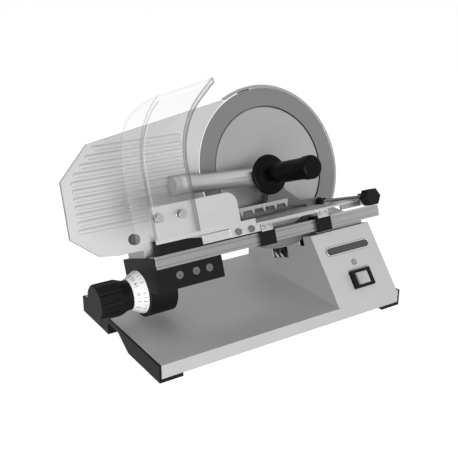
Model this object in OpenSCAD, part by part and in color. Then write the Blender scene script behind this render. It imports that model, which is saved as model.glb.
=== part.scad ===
// Gravity feed slicer: sheet metal base with a motor tower, a cantilevered guide rail, a tilted blade,
// a ribbed gauge plate set by a dial knob, and a carriage with a pusher and a clear hand guard.
// Base coordinates: X along the rail from the base's left end, Y from the front lip to the back, Z up.
// Cutting coordinates: x along the rail from the blade axis, y up the blade, z out of the blade to the user.

/* [Base] */
// length of the folded base, left to right
base_length = 378; // [350:1:420]
// depth of the base, front to back
base_depth = 225; // [215:1:260]
// height of the deck above the worktop
deck_height = 23; // [20:0.5:28]
// height of the plastic feet under the front lip
foot_height = 5; // [3:0.5:8]
// thickness of the sheet metal
sheet = 1.5; // [1:0.1:2]
// thickness of the plastic end caps
cap_wall = 3; // [2:0.5:5]

/* [Tower] */
// width of the motor tower
tower_width = 105; // [100:1:115]
// gap from the tower's right side to the base's right end
tower_inset = 2.5; // [1:0.5:6]
// depth left between the tower's back and the base's back
tower_back_gap = 8; // [5:1:20]

/* [Blade] */
// blade diameter
blade_d = 220; // [205:1:228]
// lean of the blade from upright
blade_tilt = 20; // [16:0.5:24]
// blade axis from the left end of the base
axis_x = 240; // [236:1:244]
// blade axis from the front lip
axis_y = 122; // [118:1:126]
// blade axis above the worktop
axis_z = 194; // [190:1:200]
// spindle diameter
spindle_d = 15; // [12:1:17]

/* [Rail and carriage] */
// rail section height
rail_h = 16; // [14:0.5:17]
// rail section depth
rail_depth = 18; // [17:0.5:20]
// rail length
rail_length = 365; // [355:1:380]
// width of the carriage table along the rail
table_width = 222; // [214:1:228]
// depth of the carriage table, out from the blade
table_depth = 113; // [105:1:125]
// width of each sliding shoe
shoe_width = 23; // [20:1:30]
// distance between the two shoes
shoe_pitch = 95; // [90:1:104]
// pusher rod diameter
rod_d = 8; // [7:0.5:9]

/* [Pusher and guard] */
// diameter of the pusher bar
bar_d = 24; // [20:0.5:25]
// diameter of the finger disc
disc_d = 53; // [44:1:56]
// diameter of the grip
grip_d = 27; // [22:0.5:28]
// length of the grip
grip_length = 91; // [80:1:100]
// thickness of the clear guard
guard_wall = 5; // [3:0.5:6]
// width of the guard's main panel
guard_width = 53; // [46:1:60]
// height of the folded shield plate that carries the guard
shield_height = 41; // [34:1:44]
// length of the shield plate along the rail
shield_length = 110; // [100:1:120]

/* [Gauge plate and knob] */
// thickness of the gauge plate
gauge_wall = 5; // [4:0.5:6]
// number of pressed ribs
rib_count = 11; // [7:1:11]
// thickest cut
cut_max = 14; // [8:1:14]
// diameter of the thickness knob
knob_d = 47; // [42:1:50]
// large diameter of the dial ring
dial_d = 56; // [52:1:58]

/* [Hidden] */
$fn = 64;

br = blade_d / 2;
kb = br / 110;
ct = cos(blade_tilt);
st = sin(blade_tilt);
// a cutting coordinate pair (w up the blade, n out of it) as base Y and Z
function by(w, n) = axis_y + w * st - n * ct;
function bz(w, n) = axis_z + w * ct + n * st;

// guide rail section
rail_top = -80.5 * kb;
rail_bot = rail_top - rail_h;
rail_n0 = 4;
rail_n1 = rail_n0 + rail_depth;
rail_x0 = -206.5;
rail_x1 = rail_x0 + rail_length;
slip = 0.15;
hook_n = rail_n1 - 3.5;

// tower
tower_x1 = base_length - tower_inset;
tower_x0 = tower_x1 - tower_width;
ledge_w = rail_bot - 5.6;
ledge_n0 = rail_n1 - 1;
ledge_n1 = -10;
tower_top = bz(ledge_w, ledge_n0) + 1;
step_w = (tower_top - axis_z - ledge_n1 * st) / ct;
tower_y1 = base_depth - tower_back_gap;
tower_pts = [[0, deck_height], [by(ledge_w, ledge_n0), bz(ledge_w, ledge_n0)],
  [by(ledge_w, ledge_n1), bz(ledge_w, ledge_n1)], [by(step_w, ledge_n1), tower_top],
  [tower_y1, tower_top], [tower_y1, deck_height]];
panel_slant = atan2(by(ledge_w, ledge_n0), bz(ledge_w, ledge_n0) - deck_height);
panel_x = (tower_x0 + tower_x1) / 2;

// motor and belt
motor_x = 82;
motor_w = -116 * kb;
motor_d = 64;
motor_n0 = -62;
motor_gap = 9.3;
motor_n1 = -(tower_y1 - sheet - motor_gap - axis_y - (motor_w + motor_d / 2 - 5) * st) / ct;
belt_n0 = -45;
belt_n1 = -57;
pulley_big = 34;
pulley_small = 13.6;
case_n0 = -16;
case_n1 = -70;
case_r = 46;
case_half = 38;
case_ang = atan2(motor_w, motor_x);
case_wall = 3;
belt_len = norm([motor_x, motor_w]);

// blade and cover
cover_r = br - 25.5;
guard_r0 = br + 1.2;
guard_r1 = br + 4.7;

// gauge plate outline and travel
arc_r = br + 1.2;
gauge_low = -72.4 * kb;
gauge_left = -298 * kb;
gauge_corner = -40 * kb;
gauge_pts = [[-90, gauge_low], [-243 * kb, -70.3 * kb], [-265.4 * kb, -66.7 * kb], [gauge_left, gauge_corner],
  [-295.8 * kb, 29.3 * kb], [-254.9 * kb, 68.7 * kb], [-56, 100.2 * kb], [-40, 60 * kb], [-40, gauge_low]];
rib_top = 62 * kb;
rib_pitch = 9.5 * kb;
rib_r = 4;
rib_rise = 2;
rib_end = -arc_r - 20;

// end bracket and knob axis
br_x0 = rail_x0 - 2.5;
br_x1 = rail_x0 + 35.5;
knob_n = -36;
knob_w = rail_bot - 27.5;
drum_r = 33;
arm_w0 = rail_bot - 29;
arm_w1 = rail_bot - 0.02;
arm_n1 = hook_n - 1;
arm_x1 = rail_x0 + 95;
dial_h = 17;
knob_h = 45;
knob_neck = knob_d / 2 - 4;
flutes = 14;
dial_x = br_x0 - 0.3;

// carriage
table_w1 = -60 * kb;
table_w0 = table_w1 - 2;
table_n0 = 5;
table_n1 = table_n0 + table_depth;
table_x0 = -188;
table_x1 = table_x0 + table_width;
shoe_mid = 6.5;
shoe_x = [shoe_mid - shoe_pitch / 2, shoe_mid + shoe_pitch / 2];
shoe_top = rail_top + 4;
rod_x = table_x1 + 21;
rod_w = table_w1 + 0.5;
rod_n1 = table_n1 + 2;
rod_r = rod_d / 2;
hub_n0 = table_n0 + 8.5;
hub_r = rod_r + 2;
arm_ring = hub_r + 2.5;

// pusher
arm_n0 = hub_n0;
arm_top = arm_n0 + 8;
bar_n = (arm_n0 + arm_top) / 2;
bar_w = -8 * kb;
bar_r = bar_d / 2;
bar_x0 = -153;
bar_lean = 3.5;
disc_x = -26.5;
disc_h = 7;
core_r = 5;
boss_x0 = disc_x + 4.5;
boss_x1 = disc_x + 25;
boss_r = bar_r + 1.2;
disc_n0 = bar_n + boss_r + 0.4;
cap_r = grip_d / 2 + 1.3;
neck_r = 9;
comb_low = table_w1 + 5.4;
comb_high = table_w1 + 16;
comb_x0 = -76;
comb_x1 = 2;
comb_teeth = 5;

// shield plate and clear guard on the outer edge of the table
flange_x1 = table_x0 + 78;
flange_h = 10;
shield_n = table_n1 + 0.02;
shield_wall = 2;
shield_x1 = table_x0 + 52;
shield_x0 = shield_x1 - shield_length;
shield_low = table_w1 + 1;
shield_high = shield_low + shield_height;
shield_foot = [shield_x1 - 16, flange_x1 - 6];
shield_screw_x = [shield_x1 - 6, flange_x1 - 14];
shield_screw_w = table_w1 - 5;
guard_n = shield_n + shield_wall + 2;
guard_x1 = shield_x1 - 57.5;
guard_low = table_w1 + 6;
wing = 22.5;
wing_turn = 10;
top_slope = 0.16;
corner_r = 22;
guard_screw_x = [guard_x1 - 18, guard_x1 - 47];
guard_screw_w = guard_low + 23;

// guard profile as [n, w]: upright, then two arcs that flare out to the user
arc_a = 60;
arc_b = 105;
flare_w = 19 * kb;
function arc1(f) = [arc_a * (1 - cos(f)), flare_w + arc_a * sin(f)];
function arc2(f) = arc1(44) + arc_b * [cos(44) - cos(f), sin(f) - sin(44)];
flare_end = arc2(70) + 36 * [sin(70), cos(70)];
guard_line = concat([[0, guard_low]], [for (i = [0:4]) arc1(i * 11)], [for (i = [1:3]) arc2(44 + i * 26 / 3)],
  [flare_end]);
function dirv(a, b) = (b - a) / norm(b - a);
function side(i) = let (n = len(guard_line) - 1, p = guard_line[max(i - 1, 0)], q = guard_line[i],
  r = guard_line[min(i + 1, n)], d1 = i == 0 ? dirv(q, r) : dirv(p, q), d2 = i == n ? dirv(p, q) : dirv(q, r),
  m = [d1[1] + d2[1], -d1[0] - d2[0]]) q + guard_wall * m / (1 + d1 * d2);
corner_w = flare_end[1] - top_slope * (guard_width + wing - corner_r) - corner_r;
guard_poly = concat(guard_line, [for (i = [len(guard_line) - 1:-1:0]) side(i)]);

// inward offset of a closed outline
function inset(p, t) = [for (i = [0:len(p) - 1]) let (a = p[(i + len(p) - 1) % len(p)], b = p[i],
  c = p[(i + 1) % len(p)], u = dirv(a, b), v = dirv(b, c), m = [u[1] + v[1], -u[0] - v[0]])
  b + t * m / (1 + u * v)];

// the whole is placed with its origin at the middle of its outer box, on the worktop
hex_r = 11.5;
guard_tip = side(len(guard_line) - 1);
origin_x = axis_x + (gauge_left + rail_x1) / 2;
origin_y = (by(guard_tip[1], guard_n + guard_tip[0]) + base_depth) / 2;

module on_base() { translate([-origin_x, -origin_y, 0]) children(); }
module in_cut() { on_base() translate([axis_x, axis_y, axis_z]) rotate([90 - blade_tilt, 0, 0]) children(); }
module on_panel() {
  on_base() translate([panel_x, 0, deck_height]) rotate([90 - panel_slant, 0, 0]) children();
}
// a box from its low corner to its high corner
module span(a, b) { translate(a) cube(b - a); }
// a round bar along X from x0 to x1 at height w and depth n
module xbar(x0, x1, w, n, r) { translate([x0, w, n]) rotate([0, 90, 0]) cylinder(r = r, h = x1 - x0); }
// a round bar along n at x, w
module nbar(x, w, n0, n1, r) { translate([x, w, n0]) cylinder(r = r, h = n1 - n0); }
// a pan head screw whose head sits on n0 and whose shank goes back
module pan_screw(x, w, n0, head_r, head_h, shank_r, shank_l) {
  nbar(x, w, n0, n0 + head_h, head_r);
  nbar(x, w, n0 - shank_l, n0 + 0.1, shank_r);
}

module base_pan() color("silver") on_base() difference() {
  span([0, 0, foot_height], [base_length, base_depth, deck_height]);
  span([-1, sheet, foot_height - 1], [base_length + 1, base_depth - sheet, deck_height - sheet]);
  span([tower_x0 + 8, 14, foot_height], [tower_x1 - 8, tower_y1 - 10, deck_height + 1]);
}

module cap_shape() {
  a = 0.373 * base_depth;
  b = 0.636 * base_depth;
  rotate([90, 0, 90]) linear_extrude(cap_wall) polygon([[0, 0], [a, 0], [a + 28, deck_height - 6],
    [b, deck_height - 6], [b, 0], [base_depth, 0], [base_depth, deck_height], [0, deck_height]]);
  for (y = [[0, a], [b, base_depth]]) {
    span([cap_wall - 0.1, y[0], 0], [cap_wall + 29, y[1], foot_height - 0.2]);
    span([cap_wall - 0.1, max(y[0], sheet + 0.4), 0],
      [cap_wall + 24, min(y[1], base_depth - sheet - 0.4), deck_height - sheet - 0.4]);
  }
}
module cap_left() color("#222222") on_base() translate([-cap_wall, 0, 0]) cap_shape();
module cap_right() color("#222222") on_base() translate([base_length + cap_wall, 0, 0])
  mirror([1, 0, 0]) cap_shape();

module tower_shell() color("lightgray") difference() {
  on_base() difference() {
    translate([tower_x0, 0, 0]) rotate([90, 0, 90]) linear_extrude(tower_width) polygon(tower_pts);
    translate([tower_x0 + sheet, 0, 0]) rotate([90, 0, 90]) linear_extrude(tower_width - 2 * sheet)
      polygon(concat([for (i = [1:4]) inset(tower_pts, sheet)[i]],
        [[tower_y1 - sheet, deck_height - 1], [inset(tower_pts, sheet)[0][0] - 1.5, deck_height - 1]]));
  }
  // slot for the lowest part of the blade
  in_cut() span([tower_x0 - axis_x - 5, -br - 5, -8], [br * 0.46, ledge_w + 3, 3]);
  // way for the belt, a notch in the left wall that goes on across the top
  in_cut() span([tower_x0 - axis_x - 2, motor_w - 12, belt_n1 - 4], [motor_x + 8, 0, belt_n0 + 4]);
  in_cut() span([tower_x0 - axis_x - 2, motor_w - 15, belt_n1 - 22], [tower_x0 - axis_x + 3, ledge_w - 4, belt_n0 + 5]);
  // switch and lamp holes
  on_panel() span([-12, 21, -5], [14, 41, 5]);
  on_panel() translate([1, 56, -5]) cylinder(r = 3.05, h = 10);
  // holes for the rail's screws
  in_cut() for (x = rail_screw_x) rail_hole(x, ledge_w - sheet - 2, sheet + 4, 2.05);
  // cable gland hole
  on_base() translate([tower_x1 - 40, tower_y1 - 5, deck_height + 20]) rotate([-90, 0, 0])
    cylinder(r = 6.05, h = 10);
}

module badge_plate() color("#333333") on_panel() translate([0, 78, 0]) {
  span([-32, -6.5, 0.02], [32, 6.5, 1.2]);
  for (x = [-32, 32]) translate([x, 0, 0.02]) cylinder(r = 6.5, h = 1.18);
}

module pilot_lamp() color("gray") on_panel() translate([1, 56, 0]) {
  translate([0, 0, 0.02]) cylinder(r = 4.4, h = 1.2);
  translate([0, 0, 1.2]) cylinder(r = 3, h = 1);
  translate([0, 0, -12]) cylinder(r = 3, h = 12.1);
}

module switch_frame() color("#1c1c1c") on_panel() translate([1, 31, 0]) difference() {
  union() {
    span([-17, -12.5, 0.02], [17, 12.5, 6]);
    span([-12.8, -9.8, -20], [12.8, 9.8, 0.1]);
  }
  span([-12, -9, -12], [12, 9, 7]);
  rocker_pivot(pivot_r + 0.1, 11);
}

rocker_rest = 9;
pivot_r = 1.4;
module rocker_pivot(r, reach) { rotate([90, 0, 0]) cylinder(r = r, h = 2 * reach, center = true); }
module switch_rocker() color("whitesmoke") on_panel() translate([1, 31, 0]) rotate([0, rocker_rest, 0]) {
  rotate([90, 0, 0]) translate([0, 0, -8.6]) linear_extrude(17.2)
    polygon([[-10.8, 3], [-10.8, 6.2], [0, 4.6], [10.8, 6.2], [10.8, 3], [4, -4], [-4, -4]]);
  rocker_pivot(pivot_r, 9.7);
}

module guide_rail() color("#c9ccd0") in_cut() difference() {
  span([rail_x0, rail_bot, rail_n0], [rail_x1, rail_top, rail_n1]);
  // long grooves of the extrusion
  span([rail_x0 - 1, rail_top - 4.4, rail_n1 - 1], [rail_x1 + 1, rail_top - 3, rail_n1 + 1]);
  span([rail_x0 - 1, rail_bot + 3, rail_n1 - 1], [rail_x1 + 1, rail_bot + 4.4, rail_n1 + 1]);
  span([rail_x0 - 1, rail_top - 3, rail_n0 + 2.4], [rail_x1 + 1, rail_top + 1, rail_n0 + 4.6]);
  // hollow middle
  xbar(rail_x0 - 1, rail_x1 + 1, (rail_top + rail_bot) / 2, (rail_n0 + rail_n1) / 2 - 1, 4.5);
  // holes for the foot's screws
  for (x = rail_screw_x) rail_hole(x, rail_bot - 1, 7, 2.05);
}

foot_n1 = rail_n0 + 7;
rail_screw_x = [tower_x0 - axis_x + 30, rail_x1 - 37];
// an upright hole or shank under the rail, from w0 upward
module rail_hole(x, w0, h, r) { translate([x, w0, rail_n0 + 3.5]) rotate([-90, 0, 0]) cylinder(r = r, h = h); }
module rail_foot() color("#9a9da1") in_cut() difference() {
  span([tower_x0 - axis_x + 18, ledge_w + 0.02, rail_n0], [tower_x1 - axis_x - 3, rail_bot - 0.02, foot_n1]);
  for (x = rail_screw_x) rail_hole(x, ledge_w - 1, rail_bot - ledge_w + 2, 2.05);
}

module rail_screws() color("gray") in_cut() for (x = rail_screw_x) {
  rail_hole(x, ledge_w - sheet - 3.02, 3, 3.4);
  rail_hole(x, ledge_w - sheet - 0.1, sheet + rail_bot - ledge_w + 5, 2);
}

arm_screw_x = [rail_x0 + 32, rail_x0 + 55.7, rail_x0 + 75];
arm_screw_w = rail_bot - 12.8;
module end_bracket() color("#161616") in_cut() difference() {
  union() {
    xbar(br_x0, br_x1, knob_w, knob_n, drum_r);
    span([br_x0, knob_w, knob_n - drum_r], [br_x1, rail_top - 1.4, knob_n + drum_r]);
    span([br_x0, arm_w0, -3.1], [rail_x0 - 0.02, rail_top - 1.4, rail_n1]);
    span([br_x0, arm_w0, -3.1], [br_x1, arm_w1, arm_n1]);
    span([br_x1 - 0.1, arm_w0, rail_n0 + 1], [arm_x1, arm_w1, arm_n1]);
  }
  // hollow for the cam, open to the right
  xbar(br_x0 + 6, br_x1 + 1, knob_w, knob_n, drum_r - 3.5);
  span([br_x0 + 6, knob_w, knob_n - drum_r + 3.5], [br_x1 + 1, rail_bot - 6, knob_n + drum_r - 3.5]);
  // knob shaft bore
  xbar(br_x0 - 1, br_x0 + 8, knob_w, knob_n, 5.06);
  // groove for the gauge slide's keel
  span([br_x0 + 14 - slip, rail_bot - 7, knob_n - drum_r - 1], [br_x0 + 22 + slip, rail_top, knob_n + drum_r + 1]);
  // countersunk screw seats
  for (x = arm_screw_x) {
    nbar(x, arm_screw_w, rail_n0, arm_n1 + 1, 2.6);
    translate([x, arm_screw_w, arm_n1 - 2.6]) cylinder(r1 = 2.6, r2 = 5.3, h = 2.7);
  }
}

module bracket_screws() color("gray") in_cut() for (x = arm_screw_x) {
  translate([x, arm_screw_w, arm_n1 - 2.6]) difference() {
    cylinder(r1 = 2.5, r2 = 5, h = 2.5);
    translate([0, 0, 1.2]) cylinder(r = 1.7, h = 2);
  }
  nbar(x, arm_screw_w, rail_n0 + 0.6, arm_n1 - 2.5, 2.5);
}

module case_body(grow, n0, n1) {
  translate([0, 0, n1]) linear_extrude(n0 - n1) {
    circle(r = case_r + grow);
    rotate(case_ang) translate([0, -case_half - grow]) square([belt_len + 20, 2 * (case_half + grow)]);
  }
}
module below_tower_top() {
  on_base() span([-100, -100, -50], [500, 400, tower_top + 0.02]);
}
bear_r = spindle_d / 2 + 10;
module belt_case() color("#b4b6b8") difference() {
  in_cut() difference() {
    union() {
      difference() {
        case_body(0, case_n0, case_n1);
        case_body(-case_wall, case_n0 - case_wall, case_n1 - 1);
      }
      nbar(0, 0, case_n0 - 15, case_n0, bear_r + 4);
      for (p = case_screw_at) nbar(p[0], p[1], case_n1, case_n0 - 1, 4.5);
    }
    nbar(0, 0, case_n0 - 13, case_n0 + 1, bear_r);
    nbar(0, 0, case_n0 - 16, case_n0 + 1, bear_r - 3);
    for (p = case_screw_at) nbar(p[0], p[1], case_n1 - 1, case_n1 + 12, 2.1);
  }
  below_tower_top();
}
case_screw_at = concat([for (a = [63, 153, 236]) (case_r - 3) * [cos(a), sin(a)]],
  [50 * [cos(case_ang), sin(case_ang)] + (case_half + 2) * [-sin(case_ang), cos(case_ang)]]);

module case_cover() color("#b4b6b8") difference() {
  in_cut() difference() {
    union() {
      case_body(0, case_n1 - 0.02, case_n1 - 3);
      nbar(0, 0, case_n1 - 3, case_n1 + 9, bear_r + 4);
    }
    nbar(0, 0, case_n1 - 1.5, case_n1 + 10, bear_r);
    nbar(0, 0, case_n1 - 4, case_n1 + 1, bear_r - 3);
    for (p = case_screw_at) nbar(p[0], p[1], case_n1 - 4, case_n1 + 1, 2.4);
  }
  below_tower_top();
}

module case_screws() color("gray") in_cut() for (p = case_screw_at) {
  nbar(p[0], p[1], case_n1 - 6, case_n1 - 3.02, 4);
  nbar(p[0], p[1], case_n1 - 3.1, case_n1 + 10, 2);
}

module bearing(n0, n1) in_cut() difference() {
  nbar(0, 0, n0, n1, bear_r - 0.03);
  nbar(0, 0, n0 - 1, n1 + 1, spindle_d / 2 + 0.04);
  for (n = [n0 - 1, n1 - 0.8]) difference() {
    nbar(0, 0, n, n + 1.8, bear_r - 3.5);
    nbar(0, 0, n - 1, n + 3, spindle_d / 2 + 2.6);
  }
}
module bearing_front() color("#8d9094") bearing(case_n0 - 12.9, case_n0 - 2);
module bearing_rear() color("#8d9094") bearing(case_n1 - 1.4, case_n1 + 8.8);

module motor_body() color("#5c6066") in_cut() difference() {
  union() {
    nbar(motor_x, motor_w, motor_n1 + 12, motor_n0 - 12, motor_d / 2);
    nbar(motor_x, motor_w, motor_n1, motor_n1 + 12.1, motor_d / 2 - 5);
    nbar(motor_x, motor_w, motor_n0 - 12.1, motor_n0, motor_d / 2 - 5);
  }
  nbar(motor_x, motor_w, motor_n1 - 1, motor_n0 + 1, 6.05);
  nbar(motor_x, motor_w, motor_n1 - 1, motor_n1 + 18, 24);
}
module motor_feet() color("#8d9094") difference() {
  in_cut() for (n = [motor_n0 - 24, motor_n1 + 24]) translate([motor_x, motor_w, n - 3]) difference() {
    union() {
      cylinder(r = motor_d / 2 + 3, h = 6);
      translate([-16, 0, 0]) cube([tower_x1 - axis_x - sheet - motor_x + 15.98, 20, 6]);
    }
    translate([0, 0, -1]) cylinder(r = motor_d / 2 + 0.02, h = 8);
  }
  on_base() span([-100, -100, -50], [500, 400, 6]);
  on_base() span([-100, -100, tower_top - sheet - 0.4], [500, 400, 300]);
}
module capacitor() color("#d8d8d4") on_base() translate([tower_x1 - sheet - 14.3, 60, deck_height + 18])
  rotate([-90, 0, 0]) cylinder(r = 14, h = 48);

module blade_guard() color("#c4c7cb") in_cut() {
  rotate(-48) rotate_extrude(angle = 164) polygon([[guard_r0, -10], [guard_r1, -10], [guard_r1, -1.2],
    [guard_r0, -1.2]]);
  for (a = [-26, 96]) rotate(a) span([case_r - 6, -9, case_n0 + 0.02], [guard_r0 + 0.5, 9, case_n0 + 3]);
  for (a = [-26, 96]) rotate(a) span([guard_r0 + 0.1, -9, case_n0 + 0.02], [guard_r1 - 0.1, 9, -9.9]);
}

module blade() color("#8f949a") in_cut() difference() {
  rotate_extrude() polygon([[0, -5], [br - 24, -5], [br - 24, -0.9], [br - 4, -0.7], [br, -0.05], [br, -0.35],
    [br - 7, -4.2], [br - 24, -6.2], [br - 30, -9], [0, -9]]);
  nbar(0, 0, -10, 0, 4.5);
  for (a = [45:90:315]) rotate(a) {
    nbar(20, 0, -10, 0, 2.6);
    translate([20, 0, -7.4]) cylinder(r1 = 2.6, r2 = 5.2, h = 2.6);
  }
}

module blade_cover() color("#d5d7da") in_cut() difference() {
  rotate_extrude() polygon([[0, -4.2], [cover_r - 0.6, -4.2], [cover_r, -3.6], [cover_r, -1.8],
    [cover_r - 1, -1.1], [0, -1.1]]);
  nbar(0, 0, -5, -2, 2.05);
}

module blade_screws() color("#7b7f84") in_cut() for (a = [45:90:315]) rotate(a) difference() {
  union() {
    translate([20, 0, -7.4]) cylinder(r1 = 2.5, r2 = 5, h = 2.38);
    nbar(20, 0, -12.6, -7.3, 2.5);
  }
  nbar(20, 0, -6.2, -4, 1.6);
}

module spindle() color("#a3a7ac") in_cut() difference() {
  union() {
    nbar(0, 0, -12.9, -9.02, 30);
    nbar(0, 0, case_n1 - 2.6, -12.8, spindle_d / 2);
    rotate_extrude() polygon([[0, belt_n0 + 1], [pulley_big + 2, belt_n0 + 1], [pulley_big + 2, belt_n0],
      [pulley_big, belt_n0 - 0.5], [pulley_big, belt_n1 + 0.5], [pulley_big + 2, belt_n1],
      [pulley_big + 2, belt_n1 - 1], [0, belt_n1 - 1]]);
  }
  nbar(0, 0, -90, 0, 4.5);
  for (a = [45:90:315]) rotate(a) nbar(20, 0, -13.5, 0, 2.6);
}

module tie_rod() color("#b9bcc0") in_cut() nbar(0, 0, case_n1 - 22, -2.1, 2);
module tie_knob() color("#181818") in_cut() difference() {
  union() {
    nbar(0, 0, case_n1 - 24, case_n1 - 10, 14);
    nbar(0, 0, case_n1 - 10.1, case_n1 - 3.3, bear_r);
    for (a = [0:45:315]) rotate(a) nbar(13, 0, case_n1 - 23, case_n1 - 10.5, 3);
  }
  nbar(0, 0, case_n1 - 22.02, case_n1, 2.02);
}

module belt_ring(r1) {
  ang = case_ang;
  lean = asin((pulley_big - pulley_small) / belt_len);
  circle(r = r1 + pulley_big);
  translate([motor_x, motor_w]) circle(r = r1 + pulley_small);
  polygon([for (s = [1, -1]) (pulley_big + r1) * [cos(ang + s * (90 - lean)), sin(ang + s * (90 - lean))],
    for (s = [-1, 1]) [motor_x, motor_w] + (pulley_small + r1) * [cos(ang + s * (90 - lean)),
      sin(ang + s * (90 - lean))]]);
}
module drive_belt() color("#202020") in_cut() translate([0, 0, belt_n1 + 1.2])
  linear_extrude(belt_n0 - belt_n1 - 2.4) difference() {
    belt_ring(2.6);
    belt_ring(0.3);
  }

module motor_pulley() color("#9aa0a6") in_cut() translate([motor_x, motor_w, 0]) {
  rotate_extrude() polygon([[0, belt_n0 + 1], [pulley_small + 2, belt_n0 + 1], [pulley_small + 2, belt_n0],
    [pulley_small, belt_n0 - 0.5], [pulley_small, belt_n1 + 0.5], [pulley_small + 2, belt_n1],
    [pulley_small + 2, belt_n1 - 1], [0, belt_n1 - 1]]);
  nbar(0, 0, motor_n1 + 1, belt_n1 - 0.9, 6);
}
module motor_fan() color("#2b2b2b") in_cut() translate([motor_x, motor_w, 0]) difference() {
  union() {
    nbar(0, 0, motor_n1 + 2, motor_n1 + 16, 9);
    for (a = [0:60:300]) rotate(a) span([7, -1, motor_n1 + 3], [22, 1, motor_n1 + 15]);
  }
  nbar(0, 0, motor_n1, motor_n1 + 20, 6.02);
}

module gauge_outline() {
  difference() {
    polygon(gauge_pts);
    circle(r = arc_r, $fn = 128);
  }
}
function edge_x(w) = w > 29.3 * kb ? (-295.8 + (w / kb - 29.3) * 1.035) * kb
  : w > gauge_corner ? gauge_left + (w - gauge_corner) * 0.032 : gauge_left + (gauge_corner - w) * 1.22;
module gauge_plate() color("#cfd2d5") in_cut() {
  translate([0, 0, -gauge_wall]) linear_extrude(gauge_wall) gauge_outline();
  for (i = [0:rib_count - 1]) let (w = rib_top - i * rib_pitch, a = edge_x(w) + 15)
    difference() {
      union() {
        xbar(a, rib_end, w, rib_rise - rib_r, rib_r);
        for (x = [a, rib_end]) translate([x, w, rib_rise - rib_r]) sphere(r = rib_r);
      }
      span([a - 5, w - 5, -8], [rib_end + 5, w + 5, -0.3]);
    }
}

slide_x0 = br_x0 + 2.5;
slide_x1 = br_x0 + 33.5;
slide_low = rail_top - 1.2;
module gauge_slide() color("#aeb2b6") in_cut() difference() {
  union() {
    span([slide_x0, slide_low, knob_n - drum_r + 14], [slide_x1, gauge_low - 0.3, -gauge_wall - 0.02]);
    span([slide_x0, slide_low, -gauge_wall - 6], [slide_x1, -18 * kb, -gauge_wall - 0.02]);
    span([br_x0 + 14, rail_bot - 5.6, knob_n - drum_r + 14], [br_x0 + 22, slide_low + 0.1, -gauge_wall - 6]);
  }
  for (w = [-30, -58]) nbar((slide_x0 + slide_x1) / 2, w * kb, -30, 0, 2.6);
}
module gauge_screws() color("gray") in_cut() for (w = [-30, -58]) {
  nbar((slide_x0 + slide_x1) / 2, w * kb, -gauge_wall - 9, -gauge_wall - 6.02, 4.2);
  nbar((slide_x0 + slide_x1) / 2, w * kb, -gauge_wall - 6.1, -gauge_wall - 0.1, 2.5);
}

module knob() color("#141414") in_cut() translate([dial_x - dial_h, knob_w, knob_n]) rotate([0, -90, 0])
  difference() {
    rotate_extrude() polygon([[0, 0.02], [knob_neck, 0.02], [knob_neck, 5], [knob_d / 2, 16],
      [knob_d / 2, knob_h - 2], [knob_d / 2 - 2, knob_h], [0, knob_h]]);
    for (i = [0:flutes - 1]) rotate(i * 360 / flutes)
      translate([knob_d / 2 + 1.4, 0, 4]) cylinder(r = 3, h = knob_h);
    translate([0, 0, -1]) cylinder(r = 5.02, h = knob_h - 8);
  }
module dial_ring() color("white") in_cut() translate([dial_x, knob_w, knob_n]) rotate([0, -90, 0]) difference() {
  union() {
    cylinder(r = dial_d / 2, h = 2.1);
    translate([0, 0, 2]) cylinder(r1 = dial_d / 2, r2 = knob_neck + 1, h = dial_h - 2.02);
  }
  translate([0, 0, -1]) cylinder(r = 5.02, h = dial_h + 2);
}
module knob_shaft() color("#8d9298") in_cut() {
  xbar(dial_x - dial_h - knob_h + 10, br_x0 + 22, knob_w, knob_n, 5);
  xbar(br_x0 + 8, br_x0 + 13, knob_w, knob_n - 3, 18);
}

module table() color("#d3d6d9") in_cut() {
  span([table_x0, table_w0, table_n0], [table_x1, table_w1, table_n1]);
  difference() {
    span([table_x0, table_w1 - flange_h, table_n1 - 2], [flange_x1, table_w0 + 0.1, table_n1]);
    for (x = shield_screw_x) nbar(x, shield_screw_w, table_n1 - 3, table_n1 + 1, 2.05);
  }
}
// strip under the table that carries both shoes and passes below the pusher's ring
strip_n0 = table_n0 + 6.3;
strip_n1 = rail_n1 + 3;
strip_w1 = rod_w - arm_ring - 0.8;
strip_w0 = strip_w1 - 3;
clip_n = rail_n1 + 2.5;
clip_low = rail_top + 0.6;
shoe_low = rail_bot - 2.2;
beam_x0 = table_x0 - 12;
module carriage_beam() color("#161616") in_cut()
  span([beam_x0, clip_low, strip_n0], [shoe_x[0] - shoe_width / 2 - 0.02, table_w0 - 0.02, strip_n1]);
module table_brackets() color("#c6c9cc") in_cut() {
  span([shoe_x[0] - 9, strip_w0, strip_n0], [shoe_x[1] + 9, strip_w1, strip_n1]);
  span([shoe_x[0] - 9, strip_w1 - 0.1, strip_n0], [table_x1 - 20, table_w0 - 0.02, strip_n1]);
  for (x = shoe_x) {
    span([x - 9, shoe_top + 0.02, strip_n0], [x + 9, strip_w0 + 0.1, strip_n1]);
    span([x - 9, clip_low, clip_n + 0.02], [x + 9, strip_w1, clip_n + 3]);
  }
}
module shoes() color("#101010") in_cut() for (x = shoe_x) let (a = x - shoe_width / 2, b = x + shoe_width / 2) {
  span([a, shoe_low, rail_n1 + slip], [b, shoe_top, clip_n]);
  span([a, shoe_low, clip_n - 0.1], [b, clip_low - 0.1, clip_n + 3]);
  span([a, rail_top + slip, rail_n0 + 5], [b, shoe_top, rail_n1 + slip + 0.1]);
  span([a, shoe_low, hook_n + 0.4], [b, rail_bot - slip, rail_n1 + slip + 0.1]);
}
module shoe_screws() color("gray") in_cut() for (x = shoe_x, d = [-5, 5])
  nbar(x + d, (clip_low + strip_w1) / 2, clip_n + 3.02, clip_n + 5, 2.6);

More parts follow.
